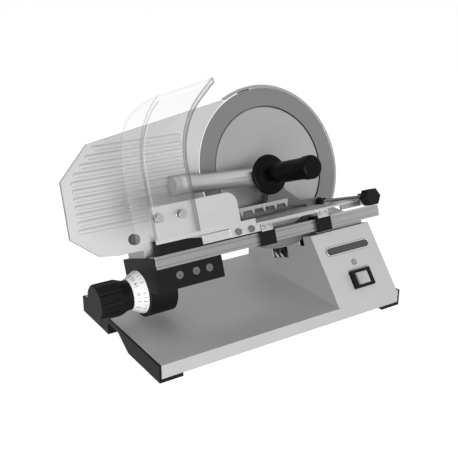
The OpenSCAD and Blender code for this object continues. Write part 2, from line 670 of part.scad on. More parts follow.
module rod_lugs() color("#c6c9cc") in_cut() for (n = [table_n0, table_n1 - 6]) difference() {
  union() {
    span([rod_x - 7, table_w0 - 6, n], [rod_x + 7, rod_w + 6.5, n + 6]);
    span([table_x1 - 18, table_w0 - 6, n], [rod_x, table_w0 - 0.02, n + (n == table_n0 ? 6 : 3.9)]);
  }
  nbar(rod_x, rod_w, n - 1, n + 7, rod_r);
}
module pusher_rod() color("#dfe2e5") in_cut() nbar(rod_x, rod_w, table_n0 - 1, rod_n1 + 8, rod_r - 0.02);
module rod_cap() color("#101010") in_cut() difference() {
  union() {
    translate([rod_x, rod_w, rod_n1]) cylinder(r = hex_r, h = 14, $fn = 6);
    nbar(rod_x, rod_w, table_n1 + 0.02, rod_n1 + 0.1, rod_r + 3);
  }
  nbar(rod_x, rod_w, table_n1 - 1, rod_n1 + 8.02, rod_r);
}
module pusher_hub() color("#17181a") in_cut() difference() {
  union() {
    nbar(rod_x, rod_w, hub_n0 - 2, hub_n0 + 20, hub_r);
    nbar(rod_x, rod_w, hub_n0 - 2, hub_n0 - 0.1, hub_r + 1.2);
    nbar(rod_x, rod_w, hub_n0 + 8.1, hub_n0 + 10.5, hub_r + 1.2);
  }
  nbar(rod_x, rod_w, hub_n0 - 3, hub_n0 + 21, rod_r + 0.04);
}
// the bar leans: its free end stands a little higher than the disc
module leaning() translate([disc_x, bar_w, 0]) rotate(-bar_lean) translate([-disc_x, -bar_w, 0]) children();
module pusher_arm() color("#55595e") in_cut() difference() {
  union() {
    nbar(rod_x, rod_w, arm_n0, arm_top, arm_ring);
    translate([0, 0, arm_n0]) linear_extrude(arm_top - arm_n0) polygon([[rod_x - 2, rod_w + arm_ring - 0.5],
      [rod_x - 28, rod_w + 7.7], [disc_x + 30.5, rod_w + 27], [boss_x1 - 1, bar_w - 9], [boss_x1 - 1, bar_w],
      [boss_x0 + 1, bar_w], [boss_x0 - 2, bar_w - 23], [disc_x - 3.5, rod_w + 15.5], [disc_x - 3.5, rod_w + 7.5],
      [rod_x - 25, rod_w + 2], [rod_x - 6, rod_w - 6]]);
    leaning() xbar(boss_x0, boss_x1, bar_w, bar_n, boss_r);
  }
  nbar(rod_x, rod_w, arm_n0 - 1, arm_top + 1, hub_r + 0.04);
  leaning() xbar(boss_x0 - 1, boss_x1 - 3, bar_w, bar_n, bar_r + 0.02);
  nbar(disc_x, bar_w, bar_n, disc_n0, core_r + 0.02);
}
module pusher_bar() color("#cfd3d6") in_cut() {
  leaning() xbar(bar_x0, boss_x1 - 3.1, bar_w, bar_n, bar_r);
  leaning() xbar(bar_x0 - 7, bar_x0 + 0.1, bar_w, bar_n, core_r);
  nbar(disc_x, bar_w, bar_n, disc_n0 + disc_h + grip_length - 10, core_r);
}
module bar_plug() color("#c4c6c8") in_cut() leaning() difference() {
  xbar(bar_x0 - 9, bar_x0 - 0.02, bar_w, bar_n, bar_r - 0.6);
  xbar(bar_x0 - 7.02, bar_x0 + 1, bar_w, bar_n, core_r + 0.02);
}
module finger_disc() color("#0e0e0e") in_cut() translate([disc_x, bar_w, disc_n0])
  rotate_extrude() polygon([[core_r + 0.02, 0], [disc_d / 2 - 2, 0], [disc_d / 2, 2], [disc_d / 2, 4],
    [disc_d / 2 - 3, 5.5], [14, disc_h], [core_r + 0.02, disc_h]]);
module grip() color("#0e0e0e") in_cut() translate([disc_x, bar_w, disc_n0 + disc_h + 0.02])
  rotate_extrude() polygon([[core_r + 0.02, 0], [neck_r, 0], [neck_r, 6], [grip_d / 2, 20],
    [grip_d / 2, grip_length - 16], [cap_r, grip_length - 14], [cap_r, grip_length - 3], [cap_r - 3, grip_length],
    [0, grip_length], [0, grip_length - 9.98], [core_r + 0.02, grip_length - 9.98]]);

comb_step = (comb_x1 - comb_x0 - 6) / (comb_teeth - 1);
comb_pts = concat([[comb_x1, comb_high - 5], [comb_x1, comb_high], [comb_x0, comb_high], [comb_x0, comb_high - 5]],
  [for (i = [0:comb_teeth - 1], p = [[-2.4, comb_high - 5], [-1, comb_low], [1, comb_low], [2.4, comb_high - 5]])
    [comb_x0 + 3 + i * comb_step + p[0], p[1]]]);
module pusher_comb() color("#b9bdc1") in_cut() translate([0, 0, arm_top + 0.02]) linear_extrude(2)
  polygon(comb_pts);

module shield_plate() color("#d6d9db") in_cut() difference() {
  translate([0, 0, shield_n]) linear_extrude(shield_wall) {
    translate([shield_x0, shield_low]) square([shield_length - 14, shield_height]);
    translate([shield_x0, shield_low]) square([shield_length, shield_height - 14]);
    translate([shield_x1 - 14, shield_high - 14]) circle(r = 14);
    translate([shield_foot[0], table_w1 - flange_h])
      square([shield_foot[1] - shield_foot[0], flange_h + 6]);
  }
  for (x = guard_screw_x) nbar(x, guard_screw_w, shield_n - 1, shield_n + 3, 2.05);
  for (x = shield_screw_x) nbar(x, shield_screw_w, shield_n - 1, shield_n + 3, 2.05);
}
module shield_screws() color("#2c2e30") in_cut() for (x = shield_screw_x)
  pan_screw(x, shield_screw_w, shield_n + shield_wall + 0.02, 4, 2, 2, 6);

module guard_sheet(x0, x1, shear) {
  multmatrix([[1, 0, 0, 0], [0, 1, 0, 0], [shear, 0, 1, 0], [0, 0, 0, 1]])
    translate([x0, 0, 0]) rotate([90, 0, 90]) linear_extrude(x1 - x0) polygon([for (p = guard_poly) [p[1], p[0]]]);
}
module guard() color("#dfe8ee", 0.35) in_cut() translate([guard_x1, 0, guard_n]) difference() {
  union() {
    guard_sheet(-guard_width, 0, 0);
    translate([-guard_width, 0, 0]) guard_sheet(-wing, 0.05, tan(wing_turn));
  }
  // sloping top edge with a round corner
  multmatrix([[1, 0, 0, 0], [top_slope, 1, 0, 0], [0, 0, 1, 0], [0, 0, 0, 1]])
    span([-guard_width - wing - 20, flare_end[1] + 0.1, -20], [20, flare_end[1] + 40, 200]);
  difference() {
    span([-guard_width - wing - 1, corner_w, -20], [-guard_width - wing + corner_r, flare_end[1] + 4, 200]);
    translate([-guard_width - wing + corner_r, corner_w, -30]) cylinder(r = corner_r, h = 250);
  }
  for (x = guard_screw_x) nbar(x - guard_x1, guard_screw_w, -1, 6, 2.1);
}
module guard_screws() color("#e3e6e8") in_cut() for (x = guard_screw_x) {
  pan_screw(x, guard_screw_w, guard_n + guard_wall + 0.02, 4.6, 2.6, 2, guard_wall + 7);
  difference() {
    nbar(x, guard_screw_w, shield_n + shield_wall + 0.02, guard_n - 0.02, 5);
    nbar(x, guard_screw_w, shield_n, guard_n + 1, 1.9);
  }
}
bump_back = wing - 0.5;
bump_n = guard_n - bump_back * tan(wing_turn);
module guard_bumper() color("#1a1a1a") in_cut()
  nbar(guard_x1 - guard_width - bump_back, guard_low + 6, bump_n - 5, bump_n - 0.12, 6);

module cable_gland() color("#1a1a1a") on_base() translate([tower_x1 - 40, tower_y1, deck_height + 20])
  rotate([-90, 0, 0]) difference() {
    union() {
      translate([0, 0, -8]) cylinder(r = 6, h = 9);
      translate([0, 0, 0.02]) cylinder(r = 9, h = 5);
    }
    translate([0, 0, -9]) cylinder(r = 3.6, h = 20);
  }

base_pan();
cap_left();
cap_right();
tower_shell();
badge_plate();
pilot_lamp();
switch_frame();
switch_rocker();
guide_rail();
rail_foot();
rail_screws();
end_bracket();
bracket_screws();
belt_case();
case_cover();
case_screws();
bearing_front();
bearing_rear();
motor_body();
motor_feet();
capacitor();
blade_guard();
blade_cover();
tie_rod();
tie_knob();
blade();
spindle();
blade_screws();
drive_belt();
motor_pulley();
motor_fan();
gauge_plate();
gauge_slide();
gauge_screws();
knob();
dial_ring();
knob_shaft();
table();
carriage_beam();
table_brackets();
shoes();
shoe_screws();
rod_lugs();
pusher_rod();
rod_cap();
pusher_hub();
pusher_arm();
pusher_bar();
bar_plug();
finger_disc();
grip();
pusher_comb();
shield_plate();
shield_screws();
guard();
guard_screws();
guard_bumper();
cable_gland();
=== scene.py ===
import math

import bmesh
import bpy
from mathutils import Matrix, Vector


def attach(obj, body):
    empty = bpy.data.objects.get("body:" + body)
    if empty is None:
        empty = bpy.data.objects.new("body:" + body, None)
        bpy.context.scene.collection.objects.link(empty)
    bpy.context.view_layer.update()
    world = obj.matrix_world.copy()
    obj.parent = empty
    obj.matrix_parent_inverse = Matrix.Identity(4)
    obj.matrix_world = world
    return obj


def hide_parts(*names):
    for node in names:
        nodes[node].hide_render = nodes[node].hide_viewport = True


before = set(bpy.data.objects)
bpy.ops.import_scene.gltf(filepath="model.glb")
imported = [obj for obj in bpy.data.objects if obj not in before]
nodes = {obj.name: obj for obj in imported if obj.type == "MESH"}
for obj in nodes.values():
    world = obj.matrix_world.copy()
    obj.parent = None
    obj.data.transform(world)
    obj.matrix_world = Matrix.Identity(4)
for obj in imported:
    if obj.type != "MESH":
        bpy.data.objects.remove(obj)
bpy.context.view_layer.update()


# Studio camera: it stands at the front left of the slicer and a little above it,
# with a long lens, so that the rail and the front lip run nearly straight.
camera_data = bpy.data.cameras.new("studio_camera")
camera_data.lens = 60.81
camera_data.sensor_width = 36
camera = bpy.data.objects.new("studio_camera", camera_data)
camera.location = (-0.53095, -0.79052, 0.4920)
camera.rotation_euler = (math.radians(69.18), 0, math.radians(-32.93))
bpy.context.scene.collection.objects.link(camera)
bpy.context.scene.camera = camera
bpy.context.scene.view_settings.view_transform = "Standard"


# Studio room: a white sweep of paper all round. What looks at it straight, through the guard
# or by a mirror sees white, while the light that it gives the slicer stays soft and lower.
def seen_directly(tree):
    path = tree.nodes.new("ShaderNodeLightPath")
    mirror = tree.nodes.new("ShaderNodeMath")
    mirror.operation = "MAXIMUM"
    tree.links.new(path.outputs["Is Camera Ray"], mirror.inputs[0])
    tree.links.new(path.outputs["Is Glossy Ray"], mirror.inputs[1])
    through = tree.nodes.new("ShaderNodeMath")
    through.operation = "MAXIMUM"
    tree.links.new(mirror.outputs[0], through.inputs[0])
    tree.links.new(path.outputs["Is Transmission Ray"], through.inputs[1])
    return through.outputs[0]


world = bpy.data.worlds.new("white_room")
bpy.context.scene.world = world
world.use_nodes = True
room = world.node_tree
soft_room = room.nodes["Background"]
soft_room.inputs["Color"].default_value = (1, 1, 1, 1)
soft_room.inputs["Strength"].default_value = 0.22
white_room = room.nodes.new("ShaderNodeBackground")
white_room.inputs["Color"].default_value = (1, 1, 1, 1)
white_room.inputs["Strength"].default_value = 1
room_mix = room.nodes.new("ShaderNodeMixShader")
room.links.new(seen_directly(room), room_mix.inputs[0])
room.links.new(soft_room.outputs[0], room_mix.inputs[1])
room.links.new(white_room.outputs[0], room_mix.inputs[2])
room.links.new(room_mix.outputs[0], room.nodes["World Output"].inputs["Surface"])

paper = bpy.data.materials.new("white_paper")
paper.use_nodes = True
paper_tree = paper.node_tree
paper_face = paper_tree.nodes["Principled BSDF"]
paper_face.inputs["Base Color"].default_value = (0.3, 0.3, 0.3, 1)
paper_face.inputs["Roughness"].default_value = 0.9
paper_face.inputs["Specular IOR Level"].default_value = 0
paper_glow = paper_tree.nodes.new("ShaderNodeEmission")
paper_glow.inputs["Strength"].default_value = 0.93
no_glow = paper_tree.nodes.new("ShaderNodeEmission")
no_glow.inputs["Strength"].default_value = 0
glow_mix = paper_tree.nodes.new("ShaderNodeMixShader")
paper_tree.links.new(seen_directly(paper_tree), glow_mix.inputs[0])
paper_tree.links.new(no_glow.outputs[0], glow_mix.inputs[1])
paper_tree.links.new(paper_glow.outputs[0], glow_mix.inputs[2])
paper_sum = paper_tree.nodes.new("ShaderNodeAddShader")
paper_tree.links.new(paper_face.outputs[0], paper_sum.inputs[0])
paper_tree.links.new(glow_mix.outputs[0], paper_sum.inputs[1])
paper_tree.links.new(paper_sum.outputs[0], paper_tree.nodes["Material Output"].inputs["Surface"])
floor_mesh = bpy.data.meshes.new("paper_floor")
floor_reach = 14
floor_corners = [
    (-floor_reach, -floor_reach, 0),
    (floor_reach, -floor_reach, 0),
    (floor_reach, floor_reach, 0),
    (-floor_reach, floor_reach, 0),
]
floor_mesh.from_pydata(floor_corners, [], [(0, 1, 2, 3)])
floor = bpy.data.objects.new("paper_floor", floor_mesh)
floor.location = (0, 0, -0.0004)
floor.data.materials.append(paper)
bpy.context.scene.collection.objects.link(floor)


# Studio lamps: three soft boxes, the main one in front and to the left, a weak one at the right,
# and one above and behind that draws the top edges.
lamps_aim = Vector((0, 0, 0.15))


def soft_box(name, place, watts, width):
    lamp_data = bpy.data.lights.new(name, "AREA")
    lamp_data.energy = watts
    lamp_data.size = width
    lamp = bpy.data.objects.new(name, lamp_data)
    lamp.location = place
    lamp.rotation_euler = (lamps_aim - Vector(place)).to_track_quat("-Z", "Y").to_euler()
    bpy.context.scene.collection.objects.link(lamp)


soft_box("main_soft_box", (-0.5, -1.7, 0.42), watts=32, width=0.7)
soft_box("side_soft_box", (1.7, -0.9, 0.9), watts=4, width=1.2)
soft_box("back_soft_box", (-0.3, 0.9, 1.7), watts=5, width=0.9)


# Base and motor tower: folded from 1.5 mm sheet, spot welded, and given a satin silver finish.
# The sheet has a fine even tooth, slow changes of tone, and folds rubbed a little brighter.
def finish(name, colour, metal, rough, grain, tooth, tone, worn, fold=0.0008, gloss=0.5):
    material = bpy.data.materials.new(name)
    material.use_nodes = True
    tree = material.node_tree
    face = tree.nodes["Principled BSDF"]
    face.inputs["Metallic"].default_value = metal
    face.inputs["Specular IOR Level"].default_value = gloss
    place = tree.nodes.new("ShaderNodeTexCoord")
    stretch = tree.nodes.new("ShaderNodeMapping")
    stretch.inputs["Scale"].default_value = grain
    tree.links.new(place.outputs["Object"], stretch.inputs["Vector"])
    fine = tree.nodes.new("ShaderNodeTexNoise")
    fine.inputs["Scale"].default_value = 1
    fine.inputs["Detail"].default_value = 4
    tree.links.new(stretch.outputs[0], fine.inputs["Vector"])
    slow = tree.nodes.new("ShaderNodeTexNoise")
    slow.inputs["Scale"].default_value = 18
    slow.inputs["Detail"].default_value = 3
    tree.links.new(place.outputs["Object"], slow.inputs["Vector"])
    tones = tree.nodes.new("ShaderNodeMix")
    tones.data_type = "RGBA"
    tones.inputs["A"].default_value = (*[c * (1 - tone) for c in colour], 1)
    tones.inputs["B"].default_value = (*[min(1, c * (1 + tone)) for c in colour], 1)
    tree.links.new(slow.outputs["Fac"], tones.inputs["Factor"])
    rounded = tree.nodes.new("ShaderNodeBevel")
    rounded.samples = 4
    rounded.inputs["Radius"].default_value = fold
    facing = tree.nodes.new("ShaderNodeNewGeometry")
    turn = tree.nodes.new("ShaderNodeVectorMath")
    turn.operation = "DOT_PRODUCT"
    tree.links.new(rounded.outputs[0], turn.inputs[0])
    tree.links.new(facing.outputs["Normal"], turn.inputs[1])
    rub = tree.nodes.new("ShaderNodeMapRange")
    rub.inputs["From Min"].default_value = 0.995
    rub.inputs["From Max"].default_value = 0.8
    rub.inputs["To Max"].default_value = worn
    tree.links.new(turn.outputs["Value"], rub.inputs["Value"])
    rub_noise = tree.nodes.new("ShaderNodeMath")
    rub_noise.operation = "MULTIPLY"
    tree.links.new(rub.outputs[0], rub_noise.inputs[0])
    tree.links.new(slow.outputs["Fac"], rub_noise.inputs[1])
    edged = tree.nodes.new("ShaderNodeMix")
    edged.data_type = "RGBA"
    edged.inputs["B"].default_value = (*[min(1, c * 1.3 + 0.08) for c in colour], 1)
    tree.links.new(rub_noise.outputs[0], edged.inputs["Factor"])
    tree.links.new(tones.outputs["Result"], edged.inputs["A"])
    tree.links.new(edged.outputs["Result"], face.inputs["Base Color"])
    sheen = tree.nodes.new("ShaderNodeMapRange")
    sheen.inputs["From Min"].default_value = 0.3
    sheen.inputs["From Max"].default_value = 0.7
    sheen.inputs["To Min"].default_value = rough * 0.85
    sheen.inputs["To Max"].default_value = min(1, rough * 1.15)
    tree.links.new(fine.outputs["Fac"], sheen.inputs["Value"])
    tree.links.new(sheen.outputs[0], face.inputs["Roughness"])
    teeth = tree.nodes.new("ShaderNodeBump")
    teeth.inputs["Strength"].default_value = 0.4
    teeth.inputs["Distance"].default_value = tooth
    tree.links.new(fine.outputs["Fac"], teeth.inputs["Height"])
    tree.links.new(rounded.outputs[0], teeth.inputs["Normal"])
    tree.links.new(teeth.outputs[0], face.inputs["Normal"])
    return material


def dress(material, *names):
    for name in names:
        nodes[name].data.materials.clear()
        nodes[name].data.materials.append(material)


satin_sheet = finish(
    "satin_silver_sheet", (0.48, 0.48, 0.48), metal=0.15, rough=0.6,
    grain=(900, 900, 900), tooth=0.00006, tone=0.05, worn=0.5, gloss=0.2,
)
dress(satin_sheet, "base_pan", "tower_shell")


# End caps: black plastic mouldings pushed into the open ends of the base, each with two feet.
# The moulding has a fine spark texture and its corners shine a little from handling.
# The gland in the tower's back is of the same plastic.
black_moulding = finish(
    "black_moulding", (0.006, 0.006, 0.006), metal=0, rough=0.5,
    grain=(1500, 1500, 1500), tooth=0.00005, tone=0.25, worn=0.1, fold=0.0007, gloss=0.1,
)
dress(black_moulding, "cap_left", "cap_right", "cable_gland")


# Switch, lamp and plate on the tower's sloping panel: a black bezel with a pale rocker and a small
# smoked lens, both pressed into holes, and above them a bare enamelled plate with a bright rim line.
panel_foot = (0.15275, -0.089024, 0.023)
panel_slope = math.radians(50.686)
panel_place = Matrix.Translation(panel_foot) @ Matrix.Rotation(panel_slope, 4, "X")
pale_rocker = finish(
    "pale_rocker_plastic", (0.4, 0.4, 0.39), metal=0, rough=0.3,
    grain=(400, 400, 400), tooth=0.00002, tone=0.06, worn=0.3, fold=0.0006,
)
dark_plate = finish(
    "dark_plate_enamel", (0.03, 0.03, 0.03), metal=0.2, rough=0.35,
    grain=(1200, 600, 600), tooth=0.00003, tone=0.2, worn=0.5, fold=0.0004,
)
smoked_lens = finish(
    "smoked_lens", (0.25, 0.25, 0.25), metal=0, rough=0.15,
    grain=(300, 300, 300), tooth=0.00001, tone=0.15, worn=0.1, fold=0.0005,
)
rim_line = finish(
    "bright_rim_line", (0.75, 0.75, 0.75), metal=0.9, rough=0.25,
    grain=(900, 900, 900), tooth=0.00002, tone=0.05, worn=0.2, fold=0.0001,
)
dress(black_moulding, "switch_frame")
dress(pale_rocker, "switch_rocker")
dress(dark_plate, "badge_plate")
dress(smoked_lens, "pilot_lamp")


def new_piece(name, points, faces, material, body, place):
    mesh = bpy.data.meshes.new(name)
    mesh.from_pydata(points, [], faces)
    mesh.update()
    piece = bpy.data.objects.new(name, mesh)
    bpy.context.scene.collection.objects.link(piece)
    mesh.transform(place)
    mesh.materials.append(material)
    mesh.polygons.foreach_set("use_smooth", [True] * len(mesh.polygons))
    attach(piece, body)
    return piece


def ring_faces(rings, steps):
    faces = []
    for ring in range(rings - 1):
        low = ring * steps
        high = low + steps
        for step in range(steps):
            after = (step + 1) % steps
            faces.append((low + step, low + after, high + after, high + step))
    return faces


plate_half_length = 0.032
plate_middle_up = 0.078
end_steps = 24


def plate_loop(radius, height):
    loop = []
    for side, start in ((plate_half_length, -0.5), (-plate_half_length, 0.5)):
        for step in range(end_steps):
            angle = math.pi * (start + step / (end_steps - 0.5))
            loop.append((side + radius * math.cos(angle), plate_middle_up + radius * math.sin(angle), height))
    return loop


rim_section = [(0.0061, 0.0012), (0.0059, 0.00135), (0.0055, 0.00135), (0.0053, 0.0012)]
rim_points = []
for radius, height in rim_section:
    rim_points += plate_loop(radius, height)
rim_faces = ring_faces(len(rim_section), 2 * end_steps)
plate_rim = new_piece("plate_rim", rim_points, rim_faces, rim_line, "base", panel_place)


# Motor in the tower: an enamelled body held by two steel straps to the tower's wall, with a black fan,
# a starting capacitor, a small steel pulley and a flat rubber belt up to the blade's spindle.
turned_steel = finish(
    "turned_steel", (0.36, 0.36, 0.36), metal=0.95, rough=0.28,
    grain=(700, 700, 700), tooth=0.00003, tone=0.08, worn=0.4, fold=0.0004,
)
motor_enamel = finish(
    "motor_enamel", (0.06, 0.065, 0.07), metal=0.1, rough=0.45,
    grain=(500, 500, 500), tooth=0.00008, tone=0.2, worn=0.3,
)
capacitor_case = finish(
    "capacitor_case", (0.7, 0.7, 0.66), metal=0, rough=0.45,
    grain=(600, 600, 600), tooth=0.00003, tone=0.06, worn=0.2,
)
belt_rubber = finish(
    "belt_rubber", (0.02, 0.02, 0.02), metal=0, rough=0.75,
    grain=(800, 800, 800), tooth=0.0001, tone=0.3, worn=0.2, fold=0.0005, gloss=0.3,
)
dress(turned_steel, "motor_feet", "motor_pulley")
dress(motor_enamel, "motor_body")
dress(black_moulding, "motor_fan")
dress(capacitor_case, "capacitor")
dress(belt_rubber, "drive_belt")


# Belt case behind the blade: a blasted aluminium casting with a cover held by four screws.
# It carries the two bearings, and a knob on its back pulls the blade's cover tight by a long rod.
cast_metal = finish(
    "blasted_casting", (0.5, 0.5, 0.5), metal=0.7, rough=0.55,
    grain=(450, 450, 450), tooth=0.00012, tone=0.08, worn=0.5, fold=0.0012,
)
dress(cast_metal, "belt_case", "case_cover")
dress(turned_steel, "case_screws", "bearing_front", "bearing_rear", "tie_rod")
dress(black_moulding, "tie_knob")


# Guide rail: a bright extruded bar with long grooves, screwed by its foot to the tower's ledge.
# The draw marks of the die run along it.
drawn_bar = finish(
    "drawn_bar", (0.29, 0.29, 0.29), metal=0.85, rough=0.3,
    grain=(12, 1400, 1400), tooth=0.00004, tone=0.06, worn=0.4, fold=0.0005,
)
dress(drawn_bar, "guide_rail", "rail_foot")
dress(turned_steel, "rail_screws")


# End bracket: a heavy black moulding on the free end of the rail, held by three countersunk screws.
# It houses the cam that moves the gauge plate.
dull_screw = finish(
    "dull_screw_steel", (0.12, 0.12, 0.12), metal=0.6, rough=0.45,
    grain=(700, 700, 700), tooth=0.00003, tone=0.1, worn=0.4, fold=0.0003, gloss=0.3,
)
dress(black_moulding, "end_bracket")
dress(dull_screw, "bracket_screws")


# Blade: a dished disc of hardened steel, ground as it turns, which leaves fine circles on it.
# It is held to the spindle by four screws under a pale cover, and a bent strip guards its back edge.
blade_middle = (0.06975, 0.032976, 0.194)
blade_lean = math.radians(70)
blade_place = Matrix.Translation(blade_middle) @ Matrix.Rotation(blade_lean, 4, "X")


def ground_finish(name, colour, rough, circles):
    material = bpy.data.materials.new(name)
    material.use_nodes = True
    tree = material.node_tree
    face = tree.nodes["Principled BSDF"]
    face.inputs["Metallic"].default_value = 0.7
    place = tree.nodes.new("ShaderNodeTexCoord")
    shift = tree.nodes.new("ShaderNodeMapping")
    shift.vector_type = "TEXTURE"
    shift.inputs["Location"].default_value = blade_middle
    shift.inputs["Rotation"].default_value = (blade_lean, 0, 0)
    tree.links.new(place.outputs["Object"], shift.inputs["Vector"])
    flat = tree.nodes.new("ShaderNodeVectorMath")
    flat.operation = "MULTIPLY"
    flat.inputs[1].default_value = (1, 1, 0)
    tree.links.new(shift.outputs[0], flat.inputs[0])
    radius = tree.nodes.new("ShaderNodeVectorMath")
    radius.operation = "LENGTH"
    tree.links.new(flat.outputs[0], radius.inputs[0])
    lines = tree.nodes.new("ShaderNodeTexNoise")
    lines.noise_dimensions = "1D"
    lines.inputs["Scale"].default_value = circles
    lines.inputs["Detail"].default_value = 3
    tree.links.new(radius.outputs["Value"], lines.inputs["W"])
    cloud = tree.nodes.new("ShaderNodeTexNoise")
    cloud.inputs["Scale"].default_value = 25
    cloud.inputs["Detail"].default_value = 3
    tree.links.new(place.outputs["Object"], cloud.inputs["Vector"])
    tones = tree.nodes.new("ShaderNodeMix")
    tones.data_type = "RGBA"
    tones.inputs["A"].default_value = (*[c * 0.92 for c in colour], 1)
    tones.inputs["B"].default_value = (*[c * 1.08 for c in colour], 1)
    both = tree.nodes.new("ShaderNodeMath")
    both.operation = "MULTIPLY_ADD"
    both.inputs[1].default_value = 0.5
    tree.links.new(lines.outputs["Fac"], both.inputs[0])
    half = tree.nodes.new("ShaderNodeMath")
    half.operation = "MULTIPLY"
    half.inputs[1].default_value = 0.5
    tree.links.new(cloud.outputs["Fac"], half.inputs[0])
    tree.links.new(half.outputs[0], both.inputs[2])
    tree.links.new(both.outputs[0], tones.inputs["Factor"])
    tree.links.new(tones.outputs["Result"], face.inputs["Base Color"])
    sheen = tree.nodes.new("ShaderNodeMapRange")
    sheen.inputs["From Min"].default_value = 0.3
    sheen.inputs["From Max"].default_value = 0.7
    sheen.inputs["To Min"].default_value = rough * 0.85
    sheen.inputs["To Max"].default_value = rough * 1.15
    tree.links.new(lines.outputs["Fac"], sheen.inputs["Value"])
    tree.links.new(sheen.outputs[0], face.inputs["Roughness"])
    cuts = tree.nodes.new("ShaderNodeBump")
    cuts.inputs["Strength"].default_value = 0.3
    cuts.inputs["Distance"].default_value = 0.00002
    tree.links.new(lines.outputs["Fac"], cuts.inputs["Height"])
    tree.links.new(cuts.outputs[0], face.inputs["Normal"])
    return material


ground_blade = ground_finish("ground_blade", (0.17, 0.17, 0.17), rough=0.42, circles=2600)
spun_cover = ground_finish("spun_cover", (0.3, 0.3, 0.3), rough=0.4, circles=1500)
dress(ground_blade, "blade")
dress(spun_cover, "blade_cover")
dress(drawn_bar, "blade_guard")
dress(turned_steel, "spindle", "blade_screws")


# Gauge plate: a ribbed aluminium plate that the food leans on, screwed to a slide in the end bracket.
# It is satin anodised, with its grain along the ribs.
gauge_satin = finish(
    "gauge_satin", (0.48, 0.48, 0.48), metal=0.2, rough=0.5,
    grain=(60, 900, 900), tooth=0.00004, tone=0.04, worn=0.3, fold=0.0015,
)
dress(gauge_satin, "gauge_plate", "gauge_slide")
dress(turned_steel, "gauge_screws")


# Thickness knob: a black fluted moulding on a steel shaft, with a white dial ring behind it.
# The ring carries printed black ticks and plain numbers for the cut.
dial_white = finish(
    "dial_white", (0.88, 0.88, 0.87), metal=0, rough=0.35,
    grain=(700, 700, 700), tooth=0.00002, tone=0.04, worn=0.1, fold=0.0004,
)
print_black = finish(
    "dial_print", (0.02, 0.02, 0.02), metal=0, rough=0.6,
    grain=(900, 900, 900), tooth=0.00001, tone=0.2, worn=0, fold=0.0001,
)
dress(black_moulding, "knob")
dress(dial_white, "dial_ring")
dress(turned_steel, "knob_shaft")
dial_axis = Vector((0, -0.124, -0.036))
dial_wide = (-0.2113, 0.028)
dial_narrow = (-0.22628, 0.0205)
dial_slant = 0.0167
dial_start = 90
dial_turn = 330
thickest_cut = 14
half_cuts = 2 * thickest_cut
print_lift = 0.0001
tick_begin = 0.05
tick_reach = 0.026
number_share = 0.66
number_reach = 0.023
digit_height = 0.0066


def on_dial(share, angle):
    along = dial_wide[0] + (dial_narrow[0] - dial_wide[0]) * share
    reach = dial_wide[1] + (dial_narrow[1] - dial_wide[1]) * share + print_lift
    return dial_axis + Vector((along, reach * math.cos(angle), reach * math.sin(angle)))


marks = bmesh.new()
for tick in range(half_cuts + 1):
    angle = math.radians(dial_start + tick * dial_turn / half_cuts)
    long_tick = tick % 2 == 0
    half_width = 0.00042 if long_tick else 0.0003
    tick_end = 0.3 if long_tick else 0.2
    corners = []
    for share, side in ((tick_begin, -1), (tick_begin, 1), (tick_end, 1), (tick_end, -1)):
        corners.append(marks.verts.new(on_dial(share, angle + side * half_width / tick_reach)))
    marks.faces.new(corners)
for number in range(thickest_cut + 1):
    angle = math.radians(dial_start + number * dial_turn / thickest_cut)
    digits = bpy.data.curves.new("digits", "FONT")
    digits.body = str(number)
    digits.size = digit_height
    digits.align_x = "CENTER"
    digits.align_y = "CENTER"
    text = bpy.data.objects.new("digits", digits)
    bpy.context.scene.collection.objects.link(text)
    bpy.context.view_layer.update()
    shape = text.evaluated_get(bpy.context.evaluated_depsgraph_get()).to_mesh()
    corners = []
    for vertex in shape.vertices:
        share = number_share - vertex.co.y / dial_slant
        corners.append(marks.verts.new(on_dial(share, angle - vertex.co.x / number_reach)))
    for polygon in shape.polygons:
        marks.faces.new([corners[index] for index in polygon.vertices])
    bpy.data.objects.remove(text)
    bpy.data.curves.remove(digits)
marks_mesh = bpy.data.meshes.new("dial_marks")
marks.to_mesh(marks_mesh)
marks.free()
marks_mesh.transform(blade_place)
marks_mesh.materials.append(print_black)
dial_marks = bpy.data.objects.new("dial_marks", marks_mesh)
bpy.context.scene.collection.objects.link(dial_marks)
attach(dial_marks, "knob")


# Carriage: a stainless table folded down at its outer edge, on a strip that joins two black shoes.
# The shoes hook over and under the rail and slide along it. Left of them, a black beam fills the space
# between the rail and the table, and two lugs at the right hold the pusher's rod.
stainless = finish(
    "brushed_stainless", (0.45, 0.45, 0.45), metal=0.75, rough=0.34,
    grain=(14, 1200, 1200), tooth=0.00004, tone=0.05, worn=0.4, fold=0.0005,
)
dress(stainless, "table", "table_brackets")
dress(black_moulding, "carriage_beam", "shoes")
dress(drawn_bar, "rod_lugs")
dress(turned_steel, "shoe_screws")


# Pusher rod: a polished bar beside the right edge of the table, with a black hexagon cap.
# A black bush slides on it and carries the pusher's arm.
polished_rod = finish(
    "polished_rod", (0.46, 0.46, 0.46), metal=1, rough=0.12,
    grain=(900, 900, 900), tooth=0.00001, tone=0.04, worn=0.2, fold=0.0004,
)
dress(polished_rod, "pusher_rod")
dress(black_moulding, "rod_cap", "pusher_hub")


# Pusher: a dark steel arm, a bright bar that lies across the food, and a toothed plate below it.
# A pale plug caps the bar's free end.
dark_arm = finish(
    "dark_arm_steel", (0.13, 0.13, 0.13), metal=0.6, rough=0.4,
    grain=(600, 600, 600), tooth=0.00005, tone=0.12, worn=0.4,
)
dress(dark_arm, "pusher_arm")
dress(stainless, "pusher_bar", "pusher_comb")
dress(pale_rocker, "bar_plug")


